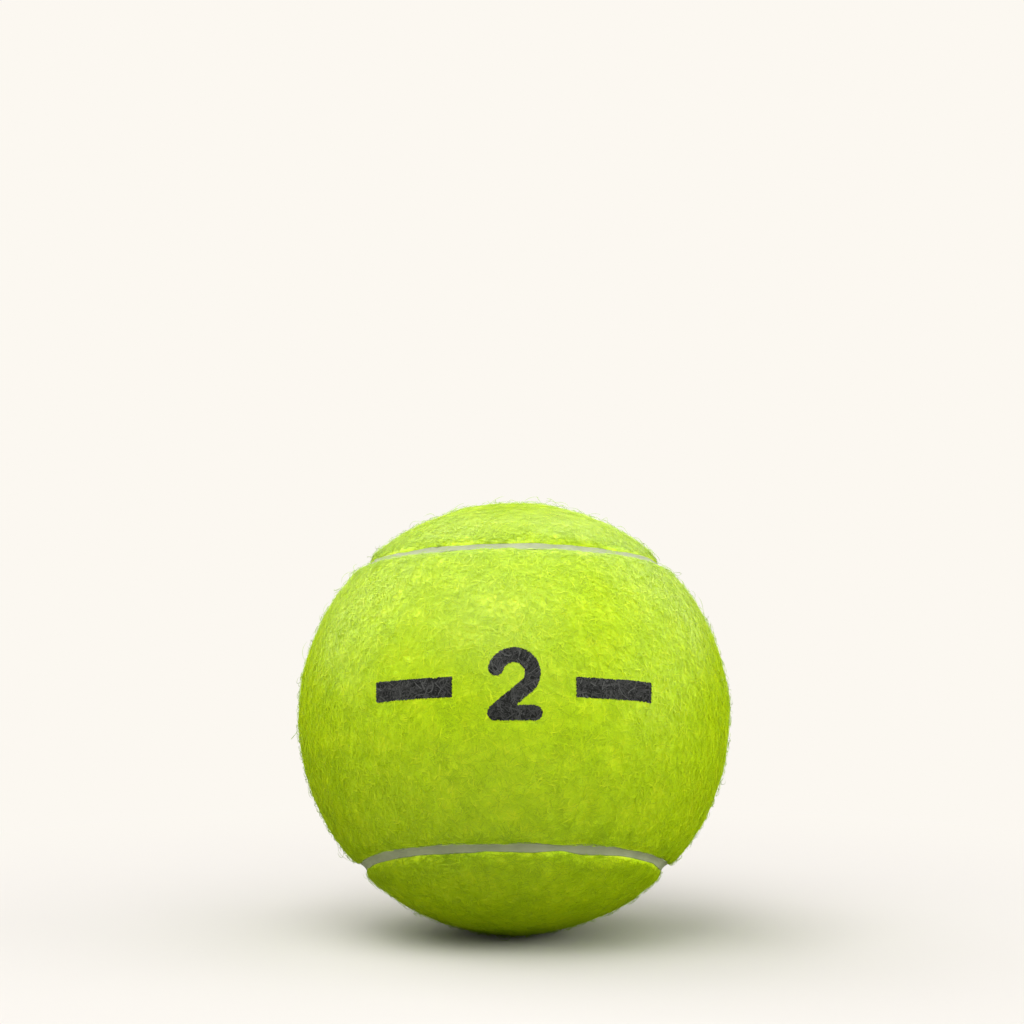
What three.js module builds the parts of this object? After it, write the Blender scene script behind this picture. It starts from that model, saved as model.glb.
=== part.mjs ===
// Pressurised padel ball, built in the order the real one is: two moulded rubber half shells are
// cemented into a hollow core, two alike felt panels are stretched and bonded over it, and a
// rubber seam fills the groove between their cut edges.
// Millimetres, +Z up. The origin is the ball's centre, and the front panel's waist faces -Y.

import * as THREE from "three";

// Layers of the ball, from the nap inwards
const ballDiameter = 65.6;
const feltThickness = 2.6;
const feltCementThickness = 0.3;
const coreWall = 3.3;
// Clearance that two curved bonded faces keep
const bondGap = 0.25;

// Cement ring between the rims of the half shells, and how far it is squeezed into the hollow
const coreJointThickness = 0.4;
const coreJointBead = 0.5;

// Groove between the two panels' cut edges: its width, the depth of the rubber below the nap, and
// the rounded felt shoulder on each side
const seamWidth = 1.8;
const seamDepth = 0.9;
const shoulderWidth = 2.0;
const shoulderDrop = 1.0;

// Run of the seam on the ball: how far it swings into each panel, how far it rises from the plane
// between them, and how far the front waist is tipped up
const seamSwingShare = 0.227;
const seamRiseShare = 0.572;
const seamTipUpDegrees = 14.1;

// Fineness of the curved faces. The seam's steps are a multiple of four.
const seamSteps = 80;
const panelColumns = 10;
const shoulderSteps = 3;
const coreSides = 48;
const coreArcSteps = 8;
const beadSteps = 4;

// Radii that follow from the layers
const napRadius = ballDiameter / 2;
const feltInnerRadius = napRadius - feltThickness;
const cementOuterRadius = feltInnerRadius - bondGap;
const cementInnerRadius = cementOuterRadius - feltCementThickness;
const coreOuterRadius = cementInnerRadius - bondGap;
const coreInnerRadius = coreOuterRadius - coreWall;

// Direction of the seam's centre line from the ball's centre, one turn being the whole loop. The
// line is a circle with a three times faster one added, lifted twice each turn, which leaves two
// alike panels. Turn 0 is the right end of the front panel, and a quarter turn its upper waist.
function seamDirection(turn) {
  const angle = 2 * Math.PI * (turn - 1 / 8);
  const across = (1 - seamSwingShare) * Math.cos(angle) + seamSwingShare * Math.cos(3 * angle);
  const along = (1 - seamSwingShare) * Math.sin(angle) - seamSwingShare * Math.sin(3 * angle);
  const rise = seamRiseShare * Math.sin(2 * angle);
  const direction = new THREE.Vector3(across - along, -Math.SQRT2 * rise, across + along);
  return direction.normalize();
}

// Direction beside the seam, set off from its centre line by a distance measured on the nap.
// Positive distances lie in the front panel.
function directionBesideSeam(turn, distance) {
  const quarterStep = 1 / (4 * seamSteps);
  const centre = seamDirection(turn);
  const ahead = seamDirection(turn + quarterStep).sub(seamDirection(turn - quarterStep));
  const inward = centre.clone().cross(ahead).normalize();
  const angle = distance / napRadius;
  return centre.multiplyScalar(Math.cos(angle)).addScaledVector(inward, Math.sin(angle));
}

// Direction between two others on the great circle that joins them
function directionBetween(from, to, share) {
  const angle = from.angleTo(to);
  return from
    .clone()
    .multiplyScalar(Math.sin((1 - share) * angle) / Math.sin(angle))
    .addScaledVector(to, Math.sin(share * angle) / Math.sin(angle));
}

function closedGeometry(points, triangles) {
  const geometry = new THREE.BufferGeometry();
  const coordinates = points.flatMap((point) => point.toArray());
  geometry.setAttribute("position", new THREE.Float32BufferAttribute(coordinates, 3));
  geometry.setIndex(triangles.flat());
  geometry.computeVertexNormals();
  return geometry;
}

// Front panel shaped layer. Each level is a ring round the panel, with its distance from the
// seam's centre line and its radius. Walls join the levels, the first level is closed by the
// layer's hollow side and the last one by its outer side.
function panelGeometry(levels) {
  const points = [];
  const triangles = [];
  const halfLoop = seamSteps / 2;

  const rings = levels.map(({ distance, radius }) => {
    const ring = [];
    for (let step = 0; step < seamSteps; step += 1) {
      ring.push(points.length);
      points.push(directionBesideSeam(step / seamSteps, distance).multiplyScalar(radius));
    }
    return ring;
  });

  for (let level = 1; level < rings.length; level += 1) {
    const lower = rings[level - 1];
    const upper = rings[level];
    for (let step = 0; step < seamSteps; step += 1) {
      const next = (step + 1) % seamSteps;
      triangles.push([lower[step], lower[next], upper[next]], [lower[step], upper[next], upper[step]]);
    }
  }

  // Rows run across the panel from one side of a ring to the other, and shrink to a point at the
  // panel's two ends.
  const rowAcross = (ring, radius, step) => {
    const near = ring[step];
    const far = ring[(seamSteps - step) % seamSteps];
    const row = [near];
    for (let column = 1; column < panelColumns; column += 1) {
      if (near === far) {
        row.push(near);
        continue;
      }
      const from = points[near].clone().normalize();
      const to = points[far].clone().normalize();
      row.push(points.length);
      points.push(directionBetween(from, to, column / panelColumns).multiplyScalar(radius));
    }
    return [...row, far];
  };
  const closeRing = (ring, radius, facesOut) => {
    const rows = [];
    for (let step = 0; step <= halfLoop; step += 1) {
      rows.push(rowAcross(ring, radius, step));
    }
    for (let step = 0; step < halfLoop; step += 1) {
      for (let column = 0; column < panelColumns; column += 1) {
        const here = rows[step];
        const next = rows[step + 1];
        const halves = [
          [here[column], next[column], next[column + 1]],
          [here[column], next[column + 1], here[column + 1]],
        ];
        for (const half of halves.filter((corners) => new Set(corners).size === 3)) {
          triangles.push(facesOut ? half : half.reverse());
        }
      }
    }
  };
  closeRing(rings[0], levels[0].radius, false);
  closeRing(rings[rings.length - 1], levels[levels.length - 1].radius, true);
  return closedGeometry(points, triangles);
}

// Melton felt, die cut, with square cut edges that the nap rounds over at the top
function feltPanelGeometry() {
  const edge = seamWidth / 2;
  const levels = [{ distance: edge, radius: feltInnerRadius }];
  for (let step = 0; step <= shoulderSteps; step += 1) {
    const angle = (Math.PI / 2) * (step / shoulderSteps);
    levels.push({
      distance: edge + shoulderWidth * (1 - Math.cos(angle)),
      radius: napRadius - shoulderDrop * (1 - Math.sin(angle)),
    });
  }
  return panelGeometry(levels);
}

// Rubber solution behind one panel, the same outline as the felt
function feltCementGeometry() {
  const edge = seamWidth / 2;
  return panelGeometry([
    { distance: edge, radius: cementInnerRadius },
    { distance: edge, radius: cementOuterRadius },
  ]);
}

// Seam rubber: one closed loop of oblong section that stands on the core between the cut edges
function seamGeometry() {
  const side = seamWidth / 2 - bondGap;
  const bottom = coreOuterRadius + bondGap;
  const top = napRadius - seamDepth;
  const section = [
    { distance: side, radius: bottom },
    { distance: side, radius: top },
    { distance: -side, radius: top },
    { distance: -side, radius: bottom },
  ];
  const points = [];
  const triangles = [];
  for (let step = 0; step < seamSteps; step += 1) {
    for (const { distance, radius } of section) {
      points.push(directionBesideSeam(step / seamSteps, distance).multiplyScalar(radius));
    }
  }
  for (let step = 0; step < seamSteps; step += 1) {
    const here = step * section.length;
    const next = ((step + 1) % seamSteps) * section.length;
    for (let corner = 0; corner < section.length; corner += 1) {
      const other = (corner + 1) % section.length;
      triangles.push(
        [here + corner, here + other, next + other],
        [here + corner, next + other, next + corner],
      );
    }
  }
  return closedGeometry(points, triangles);
}

// Points of an arc about the ball's centre, from the angle above the equator of one end to that
// of the other, as radius and height for a lathe
function arcPoints(radius, fromAngle, toAngle) {
  const points = [];
  for (let step = 0; step <= coreArcSteps; step += 1) {
    const angle = fromAngle + (toAngle - fromAngle) * (step / coreArcSteps);
    points.push(new THREE.Vector2(radius * Math.cos(angle), radius * Math.sin(angle)));
  }
  return points;
}

// Moulded half shell: an open bowl whose flat rim stops half a cement ring above the equator
function coreHalfGeometry() {
  const rimHeight = coreJointThickness / 2;
  const outer = arcPoints(coreOuterRadius, Math.asin(rimHeight / coreOuterRadius), Math.PI / 2);
  const inner = arcPoints(coreInnerRadius, Math.PI / 2, Math.asin(rimHeight / coreInnerRadius));
  outer[coreArcSteps].x = 0;
  inner[0].x = 0;
  const profile = [...inner, ...outer];
  return new THREE.LatheGeometry(profile, coreSides).rotateX(Math.PI / 2);
}

// Cement ring between the two rims, with the rounded bead that the press squeezes into the hollow
function coreJointGeometry() {
  const rimHeight = coreJointThickness / 2;
  const outerRadius = Math.sqrt(coreOuterRadius ** 2 - rimHeight ** 2);
  const innerRadius = Math.sqrt(coreInnerRadius ** 2 - rimHeight ** 2);
  const profile = [
    new THREE.Vector2(outerRadius, -rimHeight),
    new THREE.Vector2(outerRadius, rimHeight),
  ];
  for (let step = 0; step <= beadSteps; step += 1) {
    const angle = Math.PI * (step / beadSteps);
    const radius = innerRadius - coreJointBead * Math.sin(angle);
    profile.push(new THREE.Vector2(radius, rimHeight * Math.cos(angle)));
  }
  profile.push(profile[0].clone());
  return new THREE.LatheGeometry(profile, coreSides).rotateX(Math.PI / 2);
}

function finish(color, roughness) {
  return new THREE.MeshStandardMaterial({ color, roughness, metalness: 0 });
}

// Dark natural rubber compound with a dull moulded face
const coreRubber = finish(0x3b3b3d, 0.75);
// Cured rubber solution, the colour of weak tea
const rubberCement = finish(0xcdbb8c, 0.5);
// Optic yellow wool and nylon felt
const opticFelt = finish(0xc3e22b, 0.95);
// Off-white seam rubber
const seamRubber = finish(0xcfcfc2, 0.7);

function piece(name, geometry, material) {
  const mesh = new THREE.Mesh(geometry, material.clone());
  mesh.name = name;
  return mesh;
}

// Turns a front panel into the rear one, which lies crosswise to it
function turnedToRear(mesh) {
  mesh.quaternion.setFromAxisAngle(new THREE.Vector3(1, 0, 1).normalize(), Math.PI);
  return mesh;
}

const core = new THREE.Group();
const lowerHalf = piece("core_half_lower", coreHalfGeometry(), coreRubber);
lowerHalf.rotation.x = Math.PI;
core.add(
  lowerHalf,
  piece("core_half_upper", coreHalfGeometry(), coreRubber),
  piece("core_joint_cement", coreJointGeometry(), rubberCement),
);

const cover = new THREE.Group();
cover.rotation.x = -THREE.MathUtils.degToRad(seamTipUpDegrees);
cover.add(
  piece("felt_cement_front", feltCementGeometry(), rubberCement),
  turnedToRear(piece("felt_cement_rear", feltCementGeometry(), rubberCement)),
  piece("felt_panel_front", feltPanelGeometry(), opticFelt),
  turnedToRear(piece("felt_panel_rear", feltPanelGeometry(), opticFelt)),
  piece("seam_rubber", seamGeometry(), seamRubber),
);

const ball = new THREE.Group();
ball.add(core, cover);

export default ball;
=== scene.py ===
import math

import bpy
import numpy as np
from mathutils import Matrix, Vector


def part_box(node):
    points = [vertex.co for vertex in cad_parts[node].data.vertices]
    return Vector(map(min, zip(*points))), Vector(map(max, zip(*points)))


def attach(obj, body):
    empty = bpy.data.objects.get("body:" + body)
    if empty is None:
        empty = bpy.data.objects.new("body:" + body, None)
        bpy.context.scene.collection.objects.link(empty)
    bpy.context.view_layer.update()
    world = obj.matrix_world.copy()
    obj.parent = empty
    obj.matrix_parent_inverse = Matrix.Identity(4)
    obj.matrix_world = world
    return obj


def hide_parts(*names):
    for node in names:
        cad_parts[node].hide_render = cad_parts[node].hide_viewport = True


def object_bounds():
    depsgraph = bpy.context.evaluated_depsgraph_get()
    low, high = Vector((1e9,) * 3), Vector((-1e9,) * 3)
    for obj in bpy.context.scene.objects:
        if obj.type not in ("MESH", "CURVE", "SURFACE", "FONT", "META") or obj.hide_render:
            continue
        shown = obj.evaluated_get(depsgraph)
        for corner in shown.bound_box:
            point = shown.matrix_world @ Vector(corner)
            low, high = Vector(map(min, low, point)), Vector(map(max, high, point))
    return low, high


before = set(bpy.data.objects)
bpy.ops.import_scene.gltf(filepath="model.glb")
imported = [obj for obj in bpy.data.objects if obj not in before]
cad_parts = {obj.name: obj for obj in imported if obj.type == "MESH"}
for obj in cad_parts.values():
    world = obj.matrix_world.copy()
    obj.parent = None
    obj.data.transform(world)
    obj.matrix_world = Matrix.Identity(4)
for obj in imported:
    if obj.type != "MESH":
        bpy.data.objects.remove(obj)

cad_low, cad_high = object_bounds()
MM = 0.001
nap_radius = max(cad_high - cad_low) / 2


# Camera. In the square picture the ball sits low, seen from just above its middle and from so far
# off that its outline stays round.
# In pixels: the picture's side, the ball's centre from the upper left, and its outline's radius
PICTURE = 1024
BALL_AT = (514, 718)
BALL_OUTLINE_RADIUS = 216.5
CAMERA_DISTANCE = 492 * MM
CAMERA_ELEVATION = math.radians(6)
SENSOR = 36

focal_pixels = BALL_OUTLINE_RADIUS * math.sqrt((CAMERA_DISTANCE / nap_radius) ** 2 - 1)
lens = bpy.data.cameras.new("camera")
lens.sensor_width = SENSOR
lens.lens = SENSOR * focal_pixels / PICTURE
camera = bpy.data.objects.new("camera", lens)
camera.location = (
    0,
    -CAMERA_DISTANCE * math.cos(CAMERA_ELEVATION),
    CAMERA_DISTANCE * math.sin(CAMERA_ELEVATION),
)
below_axis = math.atan((BALL_AT[1] - PICTURE / 2) / focal_pixels)
right_of_axis = math.atan((BALL_AT[0] - PICTURE / 2) / focal_pixels)
camera.rotation_euler = (math.pi / 2 - CAMERA_ELEVATION + below_axis, 0, right_of_axis)
bpy.context.scene.collection.objects.link(camera)
bpy.context.scene.camera = camera
bpy.context.scene.view_settings.view_transform = "Standard"


# Studio: soft boxes round a pale paper sweep that the ball rests on, most of their light from
# above. One set gives the ball its colour, the other only the gloss on its nap, from above and
# behind. Each has its elevation and azimuth in degrees and its watts.
COLOUR_BOXES = (
    ("key_left", 65, -35, 3.1),
    ("high_left", 50, -30, 2.4),
    ("high_right", 50, 20, 0.7),
    ("front_fill", 38, 20, 1.7),
    ("side_left", 8, -80, 1.15),
    ("side_right", 8, 80, 5.5),
    ("back_left", 50, -125, 3.2),
    ("back_right", 50, 125, 1.2),
)
GLOSS_BOXES = (
    ("gloss_top", 80, 0, 2.0),
    ("gloss_back", 60, 180, 2.2),
    ("gloss_high_left", 50, -90, 0.85),
    ("gloss_high_right", 50, 90, 0.75),
    ("gloss_left", 30, -110, 1.6),
    ("gloss_right", 30, 110, 0.95),
    ("gloss_back_left", 35, -145, 1.3),
    ("gloss_back_right", 35, 145, 2.1),
)
BOX_SIZE = 0.7
BOX_DISTANCE = 0.85
ROOM_LIGHT = 0.3
PAPER = "FCF8F1"
PAPER_LIT = "D1CDC9"
PAPER_BOUNCE = "B8B6B0"
# How far from its middle the paper shows all of the shadow, and from where on none of it
SHADOW_REACH = (45 * MM, 150 * MM)
FLOOR_SIZE = 8.0


def linear(code):
    """Scene-linear colour of an sRGB hex code, by the sRGB curve: a straight toe below 0.04045 and
    a power of 2.4 above it."""
    channels = np.array([int(code[i:i + 2], 16) for i in (0, 2, 4)]) / 255
    straight = channels / 12.92
    curved = ((channels + 0.055) / 1.055) ** 2.4
    return (*np.where(channels <= 0.04045, straight, curved), 1.0)


def node(tree, kind, settings=None, **inputs):
    """Adds a node, sets its properties, and fills or links the named inputs. An underscore in an
    input's name stands for a space, and i with a number picks an input by its place."""
    made = tree.nodes.new("ShaderNode" + kind)
    for name, value in (settings or {}).items():
        setattr(made, name, value)
    for name, value in inputs.items():
        key = int(name[1:]) if name[0] == "i" and name[1:].isdigit() else name.replace("_", " ")
        socket = made.inputs[key]
        if isinstance(value, bpy.types.NodeSocket):
            tree.links.new(value, socket)
        else:
            socket.default_value = value
    return made


def new_material(name):
    """An empty node material and its tree."""
    material = bpy.data.materials.new(name)
    material.use_nodes = True
    material.node_tree.nodes.clear()
    return material, material.node_tree


def soft_box(name, elevation, azimuth, watts, gloss):
    """A square area lamp that faces the ball, at an elevation and at an azimuth turned from the
    camera's side towards the right, both in degrees. It lights either the gloss or the colour."""
    light = bpy.data.lights.new(name, "AREA")
    light.shape = "SQUARE"
    light.size = BOX_SIZE
    light.energy = watts
    lamp = bpy.data.objects.new(name, light)
    up, round_it = math.radians(elevation), math.radians(azimuth)
    lamp.location = BOX_DISTANCE * Vector((
        math.cos(up) * math.sin(round_it), -math.cos(up) * math.cos(round_it), math.sin(up)))
    lamp.rotation_euler = (-lamp.location).to_track_quat("-Z", "Y").to_euler()
    lamp.visible_glossy = gloss
    lamp.visible_diffuse = not gloss
    bpy.context.scene.collection.objects.link(lamp)


for box in COLOUR_BOXES:
    soft_box(*box, gloss=False)
for box in GLOSS_BOXES:
    soft_box(*box, gloss=True)


def camera_sees(tree):
    """1 where a ray comes straight from the camera."""
    return node(tree, "LightPath").outputs["Is Camera Ray"]


# The room: an even faint light that no gloss mirrors, and plain paper to the camera
studio = bpy.data.worlds.new("studio")
studio.use_nodes = True
studio.node_tree.nodes.clear()
bpy.context.scene.world = studio
room_light = node(studio.node_tree, "Background", Color=linear("FFFFFF"), Strength=ROOM_LIGHT)
room_paper = node(studio.node_tree, "Background", Color=linear(PAPER), Strength=1.0)
room = node(studio.node_tree, "MixShader", i0=camera_sees(studio.node_tree),
            i1=room_light.outputs[0], i2=room_paper.outputs[0])
node(studio.node_tree, "OutputWorld", Surface=room.outputs[0])
studio.cycles_visibility.glossy = False

# Matt seamless paper. The camera sees it lit near the ball, so that it keeps the shadow, and in
# its plain colour further off. The ball gets the bounce of a slightly greyer paper.
paper, tree = new_material("sweep_paper")
place = node(tree, "TexCoord").outputs["Object"]
reach = node(tree, "VectorMath", {"operation": "LENGTH"}, i0=place).outputs["Value"]
shadowed = node(tree, "MapRange", {"interpolation_type": "SMOOTHSTEP"}, Value=reach,
                From_Min=SHADOW_REACH[0], From_Max=SHADOW_REACH[1], To_Min=1.0, To_Max=0.0)
lit_paper = node(tree, "BsdfDiffuse", Color=linear(PAPER_LIT))
plain_paper = node(tree, "Emission", Color=linear(PAPER), Strength=1.0)
seen_paper = node(tree, "MixShader", i0=shadowed.outputs[0], i1=plain_paper.outputs[0],
                  i2=lit_paper.outputs[0])
bounce_paper = node(tree, "BsdfDiffuse", Color=linear(PAPER_BOUNCE))
both_papers = node(tree, "MixShader", i0=camera_sees(tree), i1=bounce_paper.outputs[0],
                   i2=seen_paper.outputs[0])
node(tree, "OutputMaterial", Surface=both_papers.outputs[0])

sweep_mesh = bpy.data.meshes.new("sweep")
half = FLOOR_SIZE / 2
floor_height = cad_low.z
sweep_mesh.from_pydata(
    [(-half, -half, floor_height), (half, -half, floor_height),
     (half, half, floor_height), (-half, half, floor_height)], [], [(0, 1, 2, 3)])
sweep_mesh.materials.append(paper)
sweep = bpy.data.objects.new("sweep", sweep_mesh)
bpy.context.scene.collection.objects.link(sweep)
sweep.visible_glossy = False


# Core: two half shells of dark natural rubber, press moulded, with their rims cemented together.
# They are sealed inside the felt.
CORE_DARK = "343436"
CORE_LIGHT = "464648"
CLOUD_SIZE = 6 * MM
MOULD_GRAIN = 0.4 * MM
MOULD_GRAIN_DEPTH = 0.05 * MM


def dress(name, material):
    """Gives a CAD node a material."""
    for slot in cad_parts[name].material_slots:
        slot.material = material


# Moulded natural rubber: dull, faintly cloudy from its filler, with the grain of the mould
core_rubber, tree = new_material("moulded_natural_rubber")
place = node(tree, "TexCoord").outputs["Object"]
cloud = node(tree, "TexNoise", Vector=place, Scale=1 / CLOUD_SIZE, Detail=3.0)
tone = node(tree, "ValToRGB", Fac=cloud.outputs["Fac"])
tone.color_ramp.elements[0].color = linear(CORE_DARK)
tone.color_ramp.elements[1].color = linear(CORE_LIGHT)
grain = node(tree, "TexNoise", Vector=place, Scale=1 / MOULD_GRAIN, Detail=2.0)
relief = node(tree, "Bump", Height=grain.outputs["Fac"], Strength=0.3,
              Distance=MOULD_GRAIN_DEPTH)
rubber = node(tree, "BsdfPrincipled", Base_Color=tone.outputs["Color"], Roughness=0.7,
              Normal=relief.outputs["Normal"])
node(tree, "OutputMaterial", Surface=rubber.outputs[0])
dress("core_half_lower", core_rubber)
dress("core_half_upper", core_rubber)


# Rubber cement: rubber solution, brushed on and cured, between the rims of the core and behind
# each felt panel.
CEMENT_PALE = "D2C193"
CEMENT_DEEP = "B9A470"
BRUSH_STREAK = 1.5 * MM
STREAK_STRETCH = 5.0

# Cured rubber cement: the colour of weak tea, with brush streaks and a slight shine
cement, tree = new_material("cured_rubber_cement")
place = node(tree, "TexCoord").outputs["Object"]
streaks = node(tree, "Mapping", Vector=place, Scale=(1.0, 1 / STREAK_STRETCH, 1.0))
brushed = node(tree, "TexNoise", Vector=streaks.outputs[0], Scale=1 / BRUSH_STREAK, Detail=4.0)
tone = node(tree, "ValToRGB", Fac=brushed.outputs["Fac"])
tone.color_ramp.elements[0].color = linear(CEMENT_DEEP)
tone.color_ramp.elements[1].color = linear(CEMENT_PALE)
film = node(tree, "BsdfPrincipled", Base_Color=tone.outputs["Color"], Roughness=0.45)
node(tree, "OutputMaterial", Surface=film.outputs[0])
for name in ("core_joint_cement", "felt_cement_front", "felt_cement_rear"):
    dress(name, cement)


# Seam: a closed loop of off-white rubber that the hot mould presses between the cut felt edges.
# It lies below the nap, hollowed slightly, and is a little wider here and narrower there.
SEAM_WIDTH = 1.4 * MM
SEAM_TAPER = 0.07 * MM
SEAM_DEPTH = 0.9 * MM
SEAM_HOLLOW = 0.12 * MM
SEAM_FOOT_GAP = 0.1 * MM
# Wavelength, height and seed of the waves in its edge and in its top
SEAM_WANDER = ((9 * MM, 0.09 * MM, 3), (3.5 * MM, 0.03 * MM, 5))
SEAM_RIPPLE = (3 * MM, 0.03 * MM, 4)
SEAM_SWING_SHARE = 0.227
SEAM_RISE_SHARE = 0.572
SEAM_TIP_UP = math.radians(14.1)
SEAM_STEPS = 960
SEAM_ACROSS = 12

# Turn about X by the tip, for points held as rows
TIPPING = np.array([
    [1, 0, 0],
    [0, math.cos(SEAM_TIP_UP), -math.sin(SEAM_TIP_UP)],
    [0, math.sin(SEAM_TIP_UP), math.cos(SEAM_TIP_UP)],
])


def tipped_up(points):
    """Turns points about X so that what faced -Y faces up by the seam's tip."""
    return points @ TIPPING


def seam_direction(turns):
    """Directions of the seam's centre line, one turn being the whole loop: a circle with a three
    times faster one added, lifted twice each turn, scaled to length one and tipped up."""
    angle = 2 * np.pi * (turns - 1 / 8)
    across = (1 - SEAM_SWING_SHARE) * np.cos(angle) + SEAM_SWING_SHARE * np.cos(3 * angle)
    along = (1 - SEAM_SWING_SHARE) * np.sin(angle) - SEAM_SWING_SHARE * np.sin(3 * angle)
    rise = SEAM_RISE_SHARE * np.sin(2 * angle)
    line = np.stack([across - along, -math.sqrt(2) * rise, across + along], -1)
    return tipped_up(line / np.linalg.norm(line, axis=-1, keepdims=True))


def seam_inward(turns):
    """Directions square to the seam and to the radius, pointing into the front panel: the cross
    product of the line's direction from the centre and the way it runs."""
    little = 1e-4
    run = seam_direction(turns + little) - seam_direction(turns - little)
    inward = np.cross(seam_direction(turns), run)
    return inward / np.linalg.norm(inward, axis=-1, keepdims=True)


def beside_seam(turns, distance):
    """Directions set off from the seam by a distance measured on the nap, more than zero into the
    front panel: the seam's direction turned towards its inward one."""
    angle = (distance / nap_radius)[..., None]
    return seam_direction(turns) * np.cos(angle) + seam_inward(turns) * np.sin(angle)


def seam_half(ways):
    """Half the seam's width: its mean, less a part that grows with height, as the mould closed a
    little tighter on one side."""
    return SEAM_WIDTH / 2 - SEAM_TAPER * ways[..., 2]


def cloudy(points, wavelength, seed, waves=24):
    """A smooth random height of about one at each point: the sum of plane waves of one wavelength
    with random directions and phases."""
    rng = np.random.default_rng(seed)
    way = rng.normal(size=(waves, 3))
    way *= 2 * np.pi / wavelength / np.linalg.norm(way, axis=1, keepdims=True)
    phase = rng.uniform(0, 2 * np.pi, waves)
    return np.sin(points @ way.T + phase).sum(-1) * math.sqrt(2 / waves)


def seam_side(ways):
    """Half the seam's width at directions on its line, with the smooth wander of its edge."""
    line = ways * nap_radius
    wander = sum(height * cloudy(line, size, seed) for size, height, seed in SEAM_WANDER)
    return seam_half(ways) + wander


def new_piece(name, vertices, faces, material):
    """A smooth mesh piece of the ball from its points and triangles."""
    mesh = bpy.data.meshes.new(name)
    mesh.vertices.add(len(vertices))
    mesh.vertices.foreach_set("co", vertices.astype(np.float32).ravel())
    mesh.loops.add(faces.size)
    mesh.loops.foreach_set("vertex_index", faces.astype(np.int32).ravel())
    mesh.polygons.add(len(faces))
    mesh.polygons.foreach_set("loop_start", np.arange(0, faces.size, 3, dtype=np.int32))
    mesh.polygons.foreach_set("use_smooth", np.ones(len(faces), bool))
    mesh.update(calc_edges=True)
    mesh.materials.append(material)
    piece = bpy.data.objects.new(name, mesh)
    bpy.context.scene.collection.objects.link(piece)
    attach(piece, "root")
    return piece


def square_corners(grid):
    """What a grid holds at the four corners of each of its squares, in order round the square."""
    return grid[:-1, :-1], grid[1:, :-1], grid[1:, 1:], grid[:-1, 1:]


def halved(a, b, c, d):
    """Two triangles for each square, from the point numbers at its corners."""
    return np.concatenate([np.stack(three, -1).reshape(-1, 3) for three in ((a, b, c), (a, c, d))])


def quads(numbers):
    """Triangles of a grid of point numbers, without those whose corners meet."""
    halves = halved(*square_corners(numbers))
    first, second, third = halves.T
    return halves[(first != second) & (second != third) & (third != first)]


def seam_loop():
    """The seam's surface: a section of a flat floor, two sides and a hollowed top, carried round
    the seam's line, its half width changing smoothly along it."""
    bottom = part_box("core_half_upper")[1].z + SEAM_FOOT_GAP
    top = nap_radius - SEAM_DEPTH
    span = np.linspace(-1, 1, SEAM_ACROSS + 1)
    across = np.concatenate([span, [1, -1]])
    radius = np.concatenate([top - SEAM_HOLLOW * (1 - span ** 2), [bottom, bottom]])
    turns = np.arange(SEAM_STEPS) / SEAM_STEPS
    line = seam_direction(turns)
    half_width = seam_side(line)[:, None]
    size, height, seed = SEAM_RIPPLE
    ripple = height * cloudy(line * nap_radius, size, seed)[:, None]
    points = beside_seam(turns[:, None], half_width * across) * (radius + ripple)[..., None]
    numbers = np.arange(points[..., 0].size).reshape(points.shape[:2])
    numbers = np.pad(numbers, ((0, 1), (0, 1)), mode="wrap")
    return points.reshape(-1, 3), quads(numbers)


# Painted light: the seam's greens stand in for the green that the felt reflects onto white rubber
SEAM_WHITE = "A8B089"
SEAM_DULL = "9BA37E"
SCUFF_SIZE = 2.5 * MM
RUBBER_GRAIN = 0.25 * MM
RUBBER_GRAIN_DEPTH = 0.04 * MM

# Vulcanised white rubber: a dull off-white with scuffs and a fine grain, tinted green as painted
# light: the green that the felt around it reflects onto it
seam_white, tree = new_material("off_white_seam_rubber")
place = node(tree, "TexCoord").outputs["Object"]
scuff = node(tree, "TexNoise", Vector=place, Scale=1 / SCUFF_SIZE, Detail=4.0)
tone = node(tree, "ValToRGB", Fac=scuff.outputs["Fac"])
tone.color_ramp.elements[0].position = 0.35
tone.color_ramp.elements[0].color = linear(SEAM_DULL)
tone.color_ramp.elements[1].position = 0.65
tone.color_ramp.elements[1].color = linear(SEAM_WHITE)
grain = node(tree, "TexNoise", Vector=place, Scale=1 / RUBBER_GRAIN, Detail=2.0)
relief = node(tree, "Bump", Height=grain.outputs["Fac"], Strength=0.4,
              Distance=RUBBER_GRAIN_DEPTH)
rubber = node(tree, "BsdfPrincipled", Base_Color=tone.outputs["Color"], Roughness=0.6,
              Normal=relief.outputs["Normal"])
node(tree, "OutputMaterial", Surface=rubber.outputs[0])

seam = new_piece("seam_strip", *seam_loop(), seam_white)
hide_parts("seam_rubber")


# Felt panels: melton cloth of wool and nylon, die cut as two dumbbells and stretched over the
# core. The body of the felt lies just under the loose nap. It is slightly lumpy, and rounds off at
# its edges, which keep to the seam rubber's sides.
NAP_DEPTH = 0.45 * MM
SHOULDER_WIDTH = 2.0 * MM
SHOULDER_DROP = 0.75 * MM
EDGE_TUCK = 0.06 * MM
# Wavelength, height and seed of each size of lump
LUMPS = ((8 * MM, 0.05 * MM, 11), (3.5 * MM, 0.03 * MM, 12), (1.5 * MM, 0.015 * MM, 13))
UNDERSIDE_GAP = 0.05 * MM
FELT_STEPS = 600
FELT_COLUMNS = 90
UNDERSIDE_COLUMNS = 12
SHOULDER_STEPS = 14


def half_turned(points):
    """Turns the front panel into the rear one: half a turn about the line midway between +X and
    the panel's upward direction, which leaves the seam as it is."""
    axis = tipped_up(np.array([1.0, 0.0, 1.0]) / math.sqrt(2))
    return 2 * (points @ axis)[..., None] * axis - points


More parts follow.
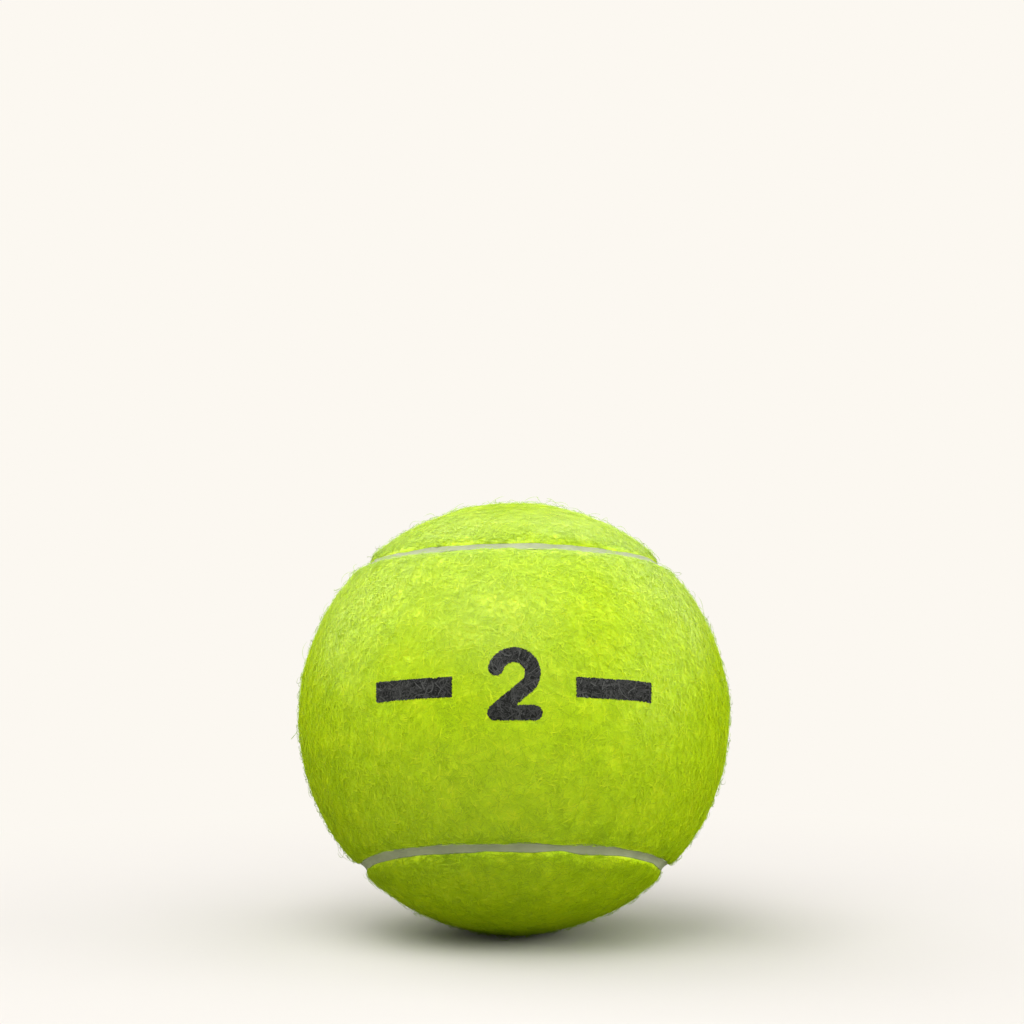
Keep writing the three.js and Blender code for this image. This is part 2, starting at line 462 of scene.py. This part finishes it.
def shoulder_drop(distance):
    """How far the felt lies below its full height at a distance from the seam's centre line: a
    quarter of an ellipse from the cut edge up to the end of the shoulder."""
    share = np.clip((np.abs(distance) - SEAM_WIDTH / 2) / SHOULDER_WIDTH, 0, 1)
    return SHOULDER_DROP * (1 - np.sqrt(1 - (1 - share) ** 2))


def lumpy(points):
    """Height of the felt's lumps at points on the ball, from three sizes of smooth noise."""
    return sum(height * cloudy(points, size, seed) for size, height, seed in LUMPS)


def rows_across(ring, columns, first_new):
    """Point numbers of a grid that closes a ring: each row runs from a point of the ring to the
    one opposite it, and the first and last rows are single points."""
    count = len(ring)
    inside = np.arange((count // 2 - 1) * (columns - 1)).reshape(-1, columns - 1)
    rows = np.empty((count // 2 + 1, columns + 1), int)
    rows[:] = ring[: count // 2 + 1, None]
    rows[1:-1, 1:-1] = first_new + inside
    rows[:, -1] = ring[-np.arange(count // 2 + 1)]
    return rows


def between_sides(ring, columns):
    """Directions inside a ring: those that split the great circle from each of its points to the
    one opposite into equal steps."""
    count = len(ring)
    near, far = ring[1:count // 2, None], ring[:count // 2:-1, None]
    angle = np.arccos((near * far).sum(-1, keepdims=True))
    share = np.arange(1, columns)[:, None] / columns
    inside = near * np.sin((1 - share) * angle) + far * np.sin(share * angle)
    return (inside / np.sin(angle)).reshape(-1, 3)


def felt_body(turned):
    """The front panel: rings round its edge from the underside up the cut and over the shoulder,
    with the inside of the first and last ring filled by rows from side to side. Its cut edge keeps
    to the seam's side where the panel will lie, tucked slightly into the rubber."""
    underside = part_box("felt_cement_front")[1].x + UNDERSIDE_GAP
    full = nap_radius - NAP_DEPTH
    turns = np.arange(FELT_STEPS) / FELT_STEPS
    edge = seam_side(turned(seam_direction(turns))) - EDGE_TUCK
    lean = np.pi / 2 * np.arange(SHOULDER_STEPS + 1)[:, None] / SHOULDER_STEPS
    inset = np.concatenate([[[0.0]], SHOULDER_WIDTH * (1 - np.cos(lean))])
    radius = np.concatenate([[[underside]], full - SHOULDER_DROP * (1 - np.sin(lean))])
    rings = beside_seam(turns[None, :], edge + inset)
    low, high = rings[0], rings[-1]
    under_ways = between_sides(low, UNDERSIDE_COLUMNS)
    over_ways = between_sides(high, FELT_COLUMNS)
    directions = np.concatenate([rings.reshape(-1, 3), under_ways, over_ways])
    radii = np.concatenate([
        np.broadcast_to(radius, rings.shape[:2]).ravel(),
        np.full(len(under_ways), underside),
        np.full(len(over_ways), full)])
    numbers = np.arange(rings.shape[0] * FELT_STEPS).reshape(-1, FELT_STEPS)
    walls = quads(np.pad(numbers, ((0, 0), (0, 1)), mode="wrap"))
    under = rows_across(numbers[0], UNDERSIDE_COLUMNS, numbers.size)
    over = rows_across(numbers[-1], FELT_COLUMNS, under.max() + 1)
    faces = np.concatenate([walls[:, ::-1], quads(under)[:, ::-1], quads(over)])
    risen = (radii - underside) / (full - underside)
    return directions, radii, risen, faces


def felt_panel(name, turned, material):
    """One panel's piece, with its lumps, which differ from panel to panel."""
    directions, radii, risen, faces = felt_body(turned)
    directions = turned(directions)
    radii = radii + risen * lumpy(directions * nap_radius)
    return new_piece(name, directions * radii[:, None], faces, material)


FELT_DEEP = "A0CA00"
FELT_MID = "CEF400"
FELT_PALE = "E6FC18"
TUFT_SIZE = 4 * MM
FIBRE_SIZE = 0.35 * MM
FIBRE_DEPTH = 0.1 * MM


def felt_finish(tree, shade):
    """The shader of felt for a shade from 0 to 1: three greens under the soft white gloss of
    nylon fibre."""
    tone = node(tree, "ValToRGB", Fac=shade)
    tone.color_ramp.elements[0].color = linear(FELT_DEEP)
    tone.color_ramp.elements[1].color = linear(FELT_PALE)
    middle = tone.color_ramp.elements.new(0.5)
    middle.color = linear(FELT_MID)
    return node(tree, "BsdfPrincipled", Base_Color=tone.outputs["Color"], Roughness=0.3,
                Specular_IOR_Level=0.65)


# Melton: dense dyed cloth, whose green shifts from tuft to tuft and from fibre to fibre. Its
# fibres are drawn coarser than real ones, so that they show.
melton, tree = new_material("optic_yellow_melton")
place = node(tree, "TexCoord").outputs["Object"]
tufts = node(tree, "TexNoise", Vector=place, Scale=1 / TUFT_SIZE, Detail=5.0)
fibres = node(tree, "TexNoise", Vector=place, Scale=1 / FIBRE_SIZE, Detail=3.0, Distortion=1.5)
mottle = node(tree, "Mix", {"data_type": "FLOAT"}, Factor=0.5, A=tufts.outputs["Fac"],
              B=fibres.outputs["Fac"])
spread = node(tree, "MapRange", Value=mottle.outputs[0], From_Min=0.35, From_Max=0.65)
cloth = felt_finish(tree, spread.outputs[0])
relief = node(tree, "Bump", Height=fibres.outputs["Fac"], Strength=0.5, Distance=FIBRE_DEPTH)
tree.links.new(relief.outputs["Normal"], cloth.inputs["Normal"])
node(tree, "OutputMaterial", Surface=cloth.outputs[0])

felt_front = felt_panel("felt_front", lambda points: points, melton)
felt_rear = felt_panel("felt_rear", half_turned, melton)
for felt, node_name in ((felt_front, "felt_panel_front"), (felt_rear, "felt_panel_rear")):
    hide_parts(node_name)


# Nap: the felt's loose fibres of wool and nylon, brushed up and then laid flat by handling. They
# are drawn about twice as thick as real ones, so that they show. Some are bleached pale, and those
# beside the seam are painted deeper, as painted shade along the groove.
NAP_STRANDS = 108000
NAP_LENGTH = (1.5 * MM, 3.6 * MM)
NAP_SHORTEST = 0.6 * MM
NAP_THICKNESS = (0.06 * MM, 0.095 * MM)
NAP_FLATNESS = 0.3
NAP_BEND = 0.9
NAP_HEIGHT = (0.02 * MM, 0.20 * MM)
NAP_ARCH = (0.01 * MM, 0.07 * MM)
NAP_POINTS = 4
NAP_SOFTNESS = 0.93
# Bleached strands: their share, and how they differ from the others
BLEACHED_SHARE = 0.15
BLEACHED_LENGTH = 0.55
BLEACHED_LIFT = 0.06 * MM
BLEACHED_SWELL = 0.035 * MM
BLEACHED_SHADE = 0.36
# Shades from 0, deep, to 1, pale, and the wavelength, weight and seed of the tufts' clouds
NAP_SHADE = 0.42
TUFT_SHADE = 0.065
STRAND_SHADE = 0.055
TUFTS = ((2.6 * MM, 1.0, 31), (6 * MM, 0.7, 32))
# Beside the seam: how far strands may hang over it, how much painted shade darkens the nap along
# the groove and how far it reaches, and how far off and how steeply the nap leans
OVERHANG = 0.08 * MM
SEAM_PAINTED_SHADE = 0.28
SEAM_PAINTED_SHADE_REACH = 3 * MM
NEAR_SEAM = 8 * MM
SLOPE_LIMIT = 0.12
# Fineness of the strands and of the search for the seam, the most triangles in a piece, and the
# margin round a strand in its cell of the map
SIDES = 3
TRIM_STEPS = 10
SEAM_SAMPLES = 480
ROWS_AT_ONCE = 8192
LARGEST_PIECE = 190000
CELL_MARGIN = 0.15


def from_seam(directions):
    """Distance on the nap from the seam's centre line, more than zero in the front panel, and the
    way it grows: the angle across the line at the nearest of many points on it."""
    turns = np.arange(SEAM_SAMPLES) / SEAM_SAMPLES
    line = seam_direction(turns).astype(np.float32)
    inward = seam_inward(turns)
    flat = directions.reshape(-1, 3)
    parts = np.array_split(flat.astype(np.float32), max(1, len(flat) // ROWS_AT_ONCE))
    nearest = np.concatenate([(part @ line.T).argmax(1) for part in parts])
    growing = inward[nearest]
    angle = np.arcsin(np.clip((flat * growing).sum(1), -1, 1)).reshape(directions.shape[:-1])
    return angle * nap_radius, growing.reshape(directions.shape)


def seam_distance(directions):
    """The distance from the seam alone."""
    return from_seam(directions)[0]


def on_ball(rng, count):
    """Directions spread evenly over the ball: normal draws scaled to length one."""
    ways = rng.normal(size=(count, 3))
    return ways / np.linalg.norm(ways, axis=1, keepdims=True)


def beside(roots):
    """Two directions square to each root and to each other, in the plane that touches the ball:
    cross products with any one skew direction."""
    skew = (0.31, 0.52, 0.79)
    side = np.cross(roots, skew)
    side /= np.linalg.norm(side, axis=1, keepdims=True)
    return side, np.cross(roots, side)


def laid(roots, heading, length, bend, steps):
    """Directions along strands that lie on the ball. Each starts at its root and walks in equal
    steps in the plane that touches the ball there, its heading turning by the bend over its
    length."""
    side, ahead = beside(roots)
    share = (np.arange(steps) + 0.5) / steps
    angle = heading[:, None] + bend[:, None] * share
    step = length[:, None] / steps
    x = np.pad(np.cumsum(np.cos(angle) * step, 1), ((0, 0), (1, 0)))
    y = np.pad(np.cumsum(np.sin(angle) * step, 1), ((0, 0), (1, 0)))
    walked = x[..., None] * side[:, None] + y[..., None] * ahead[:, None]
    points = roots[:, None] * nap_radius + walked
    return points / np.linalg.norm(points, axis=-1, keepdims=True)


def trimmed(roots, heading, length, bend):
    """Length and bend of strands cut off where they would hang too far over the seam: the share
    of their steps before the first one past the felt's edge."""
    start = seam_distance(roots)
    near = np.abs(start) < length.max() + SEAM_WIDTH
    steps = laid(roots[near], heading[near], length[near], bend[near], TRIM_STEPS)
    inside = seam_distance(steps) * np.sign(start[near])[:, None] > seam_half(steps) - OVERHANG
    share = np.ones(len(roots))
    share[near] = np.where(inside.all(1), TRIM_STEPS, inside.argmin(1) - 1) / TRIM_STEPS
    return np.maximum(share, 0) * length, np.maximum(share, 0) * bend


def nap_profile(ways):
    """Radius of the felt's body under directions on the ball: its full height with its lumps,
    less the drop of its shoulder near the seam."""
    distance = np.full(ways.shape[:-1], np.inf)
    near = np.abs(seam_distance(ways[:, 0])) < NEAR_SEAM
    distance[near] = seam_distance(ways[near])
    return nap_radius - NAP_DEPTH + lumpy(ways * nap_radius) - shoulder_drop(distance)


def felt_facing(ways):
    """Directions square to the felt under directions on the ball: the ball's own, tipped towards
    the seam by the slope of the shoulder, which is held to SLOPE_LIMIT."""
    facing = ways.copy()
    near = np.abs(seam_distance(ways[:, 0])) < NEAR_SEAM
    distance, growing = from_seam(ways[near])
    little = 0.1 * MM
    slope = (shoulder_drop(distance) - shoulder_drop(np.abs(distance) + little)) / little
    slope = np.clip(slope, 0, SLOPE_LIMIT) * np.sign(distance)
    facing[near] -= slope[..., None] * growing
    return facing / np.linalg.norm(facing, axis=-1, keepdims=True)


def strands(paths, thickness, flatness, blunt):
    """Closed spindles along paths: a point at each end and a triangle round each point between
    them, its size swelling to the strand's thickness half way, or the same all along where blunt.
    The flatness is the share of its height that a strand keeps. Each corner also gets a spot in a
    map, where every strand has a square cell of its own."""
    count, steps = paths.shape[:2]
    run = np.gradient(paths, axis=1)[:, 1:-1]
    side = np.cross(run, paths[:, 1:-1])
    side /= np.linalg.norm(side, axis=-1, keepdims=True) + 1e-12
    up = np.cross(side, run)
    up /= np.linalg.norm(up, axis=-1, keepdims=True) + 1e-12
    swell = 1 if blunt else np.sin(np.pi * np.arange(1, steps - 1) / (steps - 1)) ** 0.5
    radius = thickness[:, None] / 2 * swell * np.ones(steps - 2)
    angle = 2 * np.pi * (np.arange(SIDES) / SIDES + 1 / 4)
    sideways = np.cos(angle)[:, None] * side[:, :, None]
    round_it = sideways + flatness * np.sin(angle)[:, None] * up[:, :, None]
    rings = paths[:, 1:-1, None] + radius[..., None, None] * round_it
    vertices = np.concatenate([paths[:, :1], rings.reshape(count, -1, 3), paths[:, -1:]], 1)
    ring = np.arange(steps - 2)[:, None] * SIDES + 1 + np.arange(SIDES)
    last = (steps - 2) * SIDES + 1
    corners, spots = [], []
    for side_number in range(SIDES):
        here, there = side_number, (side_number + 1) % SIDES
        corners += [[0, ring[0, here], ring[0, there]], [last, ring[-1, there], ring[-1, here]]]
        spots += [[(here + 0.5, 0), (here, 1), (here + 1, 1)],
                  [(here + 0.5, steps - 1), (here + 1, steps - 2), (here, steps - 2)]]
        for row in range(steps - 3):
            a, b = ring[row, here], ring[row, there]
            c, d = ring[row + 1, there], ring[row + 1, here]
            e, f = (here, row + 1), (here + 1, row + 1)
            g, h = (here + 1, row + 2), (here, row + 2)
            corners += [[a, d, c], [a, c, b]]
            spots += [[e, h, g], [e, g, f]]
    starts = np.arange(count)[:, None, None] * vertices.shape[1]
    faces = (np.array(corners) + starts).reshape(-1, 3)
    cells = math.ceil(math.sqrt(count))
    corner_of_cell = np.stack(np.divmod(np.arange(count), cells), -1)[:, None, None]
    spread = CELL_MARGIN + (1 - 2 * CELL_MARGIN) * np.array(spots) / (SIDES, steps - 1)
    return vertices.reshape(-1, 3), faces, ((corner_of_cell + spread) / cells).reshape(-1, 2)


def strand_pieces(name, paths, thickness, shade, material, flatness=1.0, blunt=False):
    """Pieces that share the strands out, each strand with its own shade and its own cell of the
    map. Their faces look mostly the way the felt does, as a soft nap does. None goes under the
    floor that the ball rests on."""
    facing = felt_facing(paths / np.linalg.norm(paths, axis=-1, keepdims=True))
    rings = np.concatenate([[0], np.repeat(np.arange(1, paths.shape[1] - 1), SIDES), [-1]])
    paths = paths.copy()
    paths[..., 2] = np.maximum(paths[..., 2], floor_height + thickness.max())
    triangles = len(paths) * SIDES * 2 * (paths.shape[1] - 2)
    shares = np.array_split(np.arange(len(paths)), math.ceil(triangles / LARGEST_PIECE))
    made = []
    for number, picked in enumerate(shares, 1):
        vertices, faces, spots = strands(paths[picked], thickness[picked], flatness, blunt)
        piece = new_piece(f"{name}_{number}", vertices, faces, material)
        own = np.empty(vertices.size, np.float32)
        piece.data.vertex_normals.foreach_get("vector", own)
        brushed = piece.data.attributes.new("custom_normal", "FLOAT_VECTOR", "POINT")
        outward = facing[picked][:, rings].reshape(-1, 3)
        normal = (1 - NAP_SOFTNESS) * own.reshape(-1, 3) + NAP_SOFTNESS * outward
        normal /= np.linalg.norm(normal, axis=1, keepdims=True)
        brushed.data.foreach_set("vector", normal.astype(np.float32).ravel())
        tones = piece.data.attributes.new("shade", "FLOAT", "POINT")
        each = len(vertices) // len(picked)
        tones.data.foreach_set("value", np.repeat(shade[picked], each).astype(np.float32))
        chart = piece.data.uv_layers.new(name="OFBake")
        chart.data.foreach_set("uv", spots.astype(np.float32).ravel())
        made.append(piece)
    return made


# Loose dyed fibre: every strand has a green of its own, from deep to bleached
wool, tree = new_material("loose_felt_fibre")
tone_of_strand = node(tree, "Attribute", {"attribute_name": "shade"})
fibre = felt_finish(tree, tone_of_strand.outputs["Fac"])
node(tree, "OutputMaterial", Surface=fibre.outputs[0])


def shared_out(name, roots, paths, thickness, shade, flatness=1.0):
    """Pieces of the front panel's fibres and of the rear one's, by the side of the seam that each
    fibre roots on."""
    front = seam_distance(roots) > 0
    made = []
    for panel, own in (("front", front), ("rear", ~front)):
        made.append(strand_pieces(f"{name}_{panel}", paths[own], thickness[own], shade[own],
                                  wool, flatness))
    return made


rng = np.random.default_rng(7)
roots = on_ball(rng, NAP_STRANDS)
heading = rng.uniform(0, 2 * np.pi, NAP_STRANDS)
bleached = rng.uniform(size=NAP_STRANDS) < BLEACHED_SHARE
length = rng.uniform(*NAP_LENGTH, NAP_STRANDS) * np.where(bleached, BLEACHED_LENGTH, 1)
bend = rng.normal(0, NAP_BEND, NAP_STRANDS)
length, bend = trimmed(roots, heading, length, bend)
kept = length > NAP_SHORTEST
roots, heading, bleached = roots[kept], heading[kept], bleached[kept]
length, bend = length[kept], bend[kept]
ways = laid(roots, heading, length, bend, NAP_POINTS - 1)
along = np.linspace(0, 1, NAP_POINTS)
height = rng.uniform(*NAP_HEIGHT, (len(ways), 1)) + BLEACHED_LIFT * bleached[:, None]
arch = rng.uniform(*NAP_ARCH, (len(ways), 1)) * np.sin(np.pi * along)
paths = ways * (nap_profile(ways) + height + arch)[..., None]
thickness = rng.uniform(*NAP_THICKNESS, len(ways)) + BLEACHED_SWELL * bleached
tuft = sum(weight * cloudy(roots * nap_radius, size, seed) for size, weight, seed in TUFTS)
# Painted shade: strands rooted next to the seam get a deeper green that stands in for the shade
# along the groove
past_edge = np.maximum(np.abs(seam_distance(roots)) - SEAM_WIDTH / 2, 0)
painted_seam_shade = np.exp(-(past_edge / SEAM_PAINTED_SHADE_REACH) ** 2)
shade = NAP_SHADE + TUFT_SHADE * tuft + STRAND_SHADE * rng.normal(size=len(ways))
shade = np.clip(shade + BLEACHED_SHADE * bleached - SEAM_PAINTED_SHADE * painted_seam_shade, 0, 1)
nap_front, nap_rear = shared_out("nap", roots, paths, thickness, shade, NAP_FLATNESS)


# Stamp: a plain number between two bars, pad printed in dark ink on the waist of the front panel.
# The ink has soaked into the felt's body and coats the fibres that lie over it.
STAMP_STROKE = 2.3 * MM
STAMP_BAR = (9.0 * MM, 21.5 * MM)
STAMP_BAR_HEIGHT = 3.0 * MM
STAMP_REACH = (24 * MM, 8 * MM)
NUMBER_HEAD_RADIUS = 2.7 * MM
NUMBER_HEAD_UP = 1.9 * MM
NUMBER_HEAD_TURN = (165, -38)
NUMBER_HEAD_STEPS = 24
NUMBER_FOOT = ((-2.75 * MM, -3.85 * MM), (3.0 * MM, -3.85 * MM))
# Wavelength, height and seed of the ragged edge that ink leaves on felt
INK_RAGGED = (0.6 * MM, 0.05 * MM, 41)
INK_GRID = 0.12 * MM
INK_LIFT = 0.05 * MM
INK_COAT = 0.03 * MM
INK_FULL = "1C1D1B"
# Grey for the painted sheen on inked fibres, the highlights that they catch
INK_PAINTED_SHEEN = "5A5B58"


def stamp_place(points):
    """Arc lengths to the right of the waist's centre and up from it, for points round the ball."""
    level = points @ TIPPING.T
    level /= np.linalg.norm(level, axis=-1, keepdims=True)
    right, up = np.arctan2(level[..., 0], -level[..., 1]), np.arcsin(level[..., 2])
    return nap_radius * right, nap_radius * up


def number_two():
    """The line of a plain 2 about ten millimetres tall: most of a circle for its head, a straight
    neck, and a flat foot."""
    turn = np.radians(np.linspace(*NUMBER_HEAD_TURN, NUMBER_HEAD_STEPS))
    head = NUMBER_HEAD_RADIUS * np.stack([np.cos(turn), np.sin(turn)], -1) + (0, NUMBER_HEAD_UP)
    return np.concatenate([head, NUMBER_FOOT])


def ink_depth(right, up):
    """How far inside the stamp's shapes a place is, less than zero outside: the stroke's half
    width less the distance to the number's line, or the distance to a bar's nearest side."""
    line = number_two()
    nearest = np.full(right.shape, np.inf)
    for start, end in zip(line[:-1], line[1:]):
        run = end - start
        across, rise = right - start[0], up - start[1]
        share = np.clip((across * run[0] + rise * run[1]) / (run @ run), 0, 1)
        gap = np.hypot(across - share * run[0], rise - share * run[1])
        nearest = np.minimum(nearest, gap)
    middle, half_length = sum(STAMP_BAR) / 2, (STAMP_BAR[1] - STAMP_BAR[0]) / 2
    from_end = half_length - np.abs(np.abs(right) - middle)
    from_edge = STAMP_BAR_HEIGHT / 2 - np.abs(up)
    return np.maximum(STAMP_STROKE / 2 - nearest, np.minimum(from_end, from_edge))


def ink_film():
    """The soaked part of the felt's body: the squares of a fine grid over the waist that lie
    inside the stamp's shapes, a hair's breadth above the felt's body."""
    grid = (np.arange(-reach, reach, INK_GRID) for reach in STAMP_REACH)
    right, up = np.meshgrid(*grid, indexing="ij")
    round_it, above = right / nap_radius, up / nap_radius
    ways = tipped_up(np.stack([
        np.sin(round_it) * np.cos(above), -np.cos(round_it) * np.cos(above), np.sin(above)], -1))
    radius = nap_radius - NAP_DEPTH + lumpy(ways * nap_radius) + INK_LIFT
    size, height, seed = INK_RAGGED
    ragged = height * cloudy(ways.reshape(-1, 3) * nap_radius, size, seed).reshape(right.shape)
    inside = ink_depth(right, up) > ragged
    squares = np.logical_and.reduce(square_corners(inside))
    numbers = np.arange(right.size).reshape(right.shape)
    faces = halved(*(corner[squares] for corner in square_corners(numbers)))
    used, faces = np.unique(faces, return_inverse=True)
    return (ways * radius[..., None]).reshape(-1, 3)[used], faces.reshape(-1, 3)


# Stamping ink: dull and near black, with some fibres greyer at random as painted sheen: the
# highlights that inked fibres catch
ink, tree = new_material("stamping_ink")
ink_sheen_share = node(tree, "Attribute", {"attribute_name": "shade"})
tone = node(tree, "ValToRGB", Fac=ink_sheen_share.outputs["Fac"])
tone.color_ramp.elements[0].color = linear(INK_FULL)
tone.color_ramp.elements[1].color = linear(INK_PAINTED_SHEEN)
print_on = node(tree, "BsdfPrincipled", Base_Color=tone.outputs["Color"], Roughness=0.6,
                Specular_IOR_Level=0.3, Sheen_Weight=0.2, Sheen_Roughness=0.4)
node(tree, "OutputMaterial", Surface=print_on.outputs[0])
stamp = new_piece("stamp_film", *ink_film(), ink)


# Inked fibres, counted in the steps in which each leg of a strand is tried: the blunt end past an
# edge of the print, how far bends keep inside both edges, and how far they keep apart
INK_STEPS = 6
INK_END = 0.4
BENDS_INSIDE = (0.1, 0.2)
BENDS_APART = 0.03
# Mean and spread of the painted sheen on the inked fibres, from 0 to 1
PAINTED_INK_SHEEN_SPREAD = (0.3, 0.3)


def along_paths(paths, at):
    """Points of paths at numbers that count their points, straight from one point to the next."""
    before = np.minimum(at.astype(int), paths.shape[1] - 2)
    share = (at - before)[:, None]
    return paths[:, before] * (1 - share) + paths[:, before + 1] * share


def inked_parts(paths, thickness):
    """The stretches of strands that lie inside the stamp's shapes, as paths that bend where their
    strands do and have a short blunt end beyond each edge, and their thickness."""
    right, up = stamp_place(paths)
    in_reach = (np.abs(right) < STAMP_REACH[0]) & (np.abs(up) < STAMP_REACH[1])
    near = (in_reach & (paths[..., 1] < 0)).any(1)
    paths, thickness = paths[near], thickness[near]
    legs = paths.shape[1] - 1
    steps = INK_STEPS * legs
    bends = INK_STEPS * np.arange(1.0, legs)
    fine = along_paths(paths, np.arange(steps + 1) / INK_STEPS)
    inside = ink_depth(*stamp_place(fine)) > 0
    parts, coats = [], []
    for strand, marks in enumerate(inside):
        edges = np.flatnonzero(np.diff(np.concatenate([[0], marks, [0]])))
        for first, last in zip(edges[::2], edges[1::2] - 1):
            if last > first:
                inner = np.clip(bends, first + BENDS_INSIDE[0], last - BENDS_INSIDE[1])
                inner += BENDS_APART * np.arange(legs - 1)
                spots = [first - INK_END, first, *inner, last, last + INK_END]
                spots = np.clip(spots, 0, steps) / INK_STEPS
                parts.append(along_paths(paths[strand][None], spots)[0])
                coats.append(thickness[strand] + 2 * INK_COAT)
    return np.array(parts), np.array(coats)


parts, coats = inked_parts(paths, thickness)
# Painted sheen: each inked fibre gets its own grey, standing in for highlights
shade = np.clip(rng.normal(*PAINTED_INK_SHEEN_SPREAD, len(parts)), 0, 1)
stamp_fibres = strand_pieces("stamp_nap", parts, coats, shade, ink, NAP_FLATNESS, blunt=True)


# Fuzz: fibre ends that stand clear of the nap and soften the ball's outline. Most are short and
# lean over; a few long curly ones stray further, more of them towards the top. The printing pad
# has pressed them down where the stamp is.
FUZZ_STRANDS = 10000
FUZZ_LENGTH = (0.9 * MM, 2.0 * MM)
FUZZ_RISE = (0.12 * MM, 0.45 * MM)
FUZZ_CURL = 1.0
FUZZ_POINTS = 5
STRAY_HAIRS = 500
STRAY_LENGTH = (2.2 * MM, 4.5 * MM)
STRAY_RISE = (0.4 * MM, 1.3 * MM)
STRAY_CURL = 2.6
STRAY_POINTS = 9
# How likely a stray hair is low on the ball, and the share of the radius below its middle from
# which they grow more likely
STRAY_LOW_SHARE = 0.1
STRAY_LOW = 0.3
# Both kinds
STANDING_SHORTEST = 0.4 * MM
STANDING_THICKNESS = (0.045 * MM, 0.065 * MM)
STANDING_ROOT = 0.2 * MM
STANDING_PEAK = (0.45, 1.0)
# Painted shade: the standing strands are all a deep green, standing in for the shade that thin
# hairs show
STANDING_PAINTED_SHADE = 0.1
STAMP_CLEARANCE = 0.3 * MM


def standing(name, roots, lengths, rises, curl, points):
    """Pieces of strands that root in the nap and lean out of it, and that keep clear of the stamp.
    They run over the ball as laid ones do, and their height above the nap follows a sine over the
    share of their length, whose peak lies before the tip or at it."""
    count = len(roots)
    length = rng.uniform(*lengths, count)
    rise = rng.uniform(*rises, (count, 1))
    bend = rng.normal(0, curl, count)
    heading = rng.uniform(0, 2 * np.pi, count)
    length, bend = trimmed(roots, heading, length, bend)
    ways = laid(roots, heading, length, bend, points - 1)
    peak = rng.uniform(*STANDING_PEAK, (count, 1))
    lift = rise * np.sin(np.pi / 2 * np.linspace(0, 1, points) / peak)
    paths = ways * (nap_profile(ways) + STANDING_ROOT + lift)[..., None]
    printed = (ink_depth(*stamp_place(ways)) > -STAMP_CLEARANCE).any(1) & (roots[:, 1] < 0)
    kept = (length > STANDING_SHORTEST) & ~printed
    thickness = rng.uniform(*STANDING_THICKNESS, kept.sum())
    # Painted shade: a deep green all over the standing strands
    shade = np.clip(STANDING_PAINTED_SHADE * rng.normal(size=kept.sum()), 0, 1)
    return shared_out(name, roots[kept], paths[kept], thickness, shade)


fuzz_front, fuzz_rear = standing(
    "fuzz", on_ball(rng, FUZZ_STRANDS), FUZZ_LENGTH, FUZZ_RISE, FUZZ_CURL, FUZZ_POINTS)

roots = on_ball(rng, 2 * STRAY_HAIRS)
likely = STRAY_LOW_SHARE + (1 - STRAY_LOW_SHARE) * np.clip(STRAY_LOW + roots[:, 2], 0, 1)
roots = roots[rng.uniform(size=len(roots)) < likely][:STRAY_HAIRS]
stray_front, stray_rear = standing(
    "stray", roots, STRAY_LENGTH, STRAY_RISE, STRAY_CURL, STRAY_POINTS)
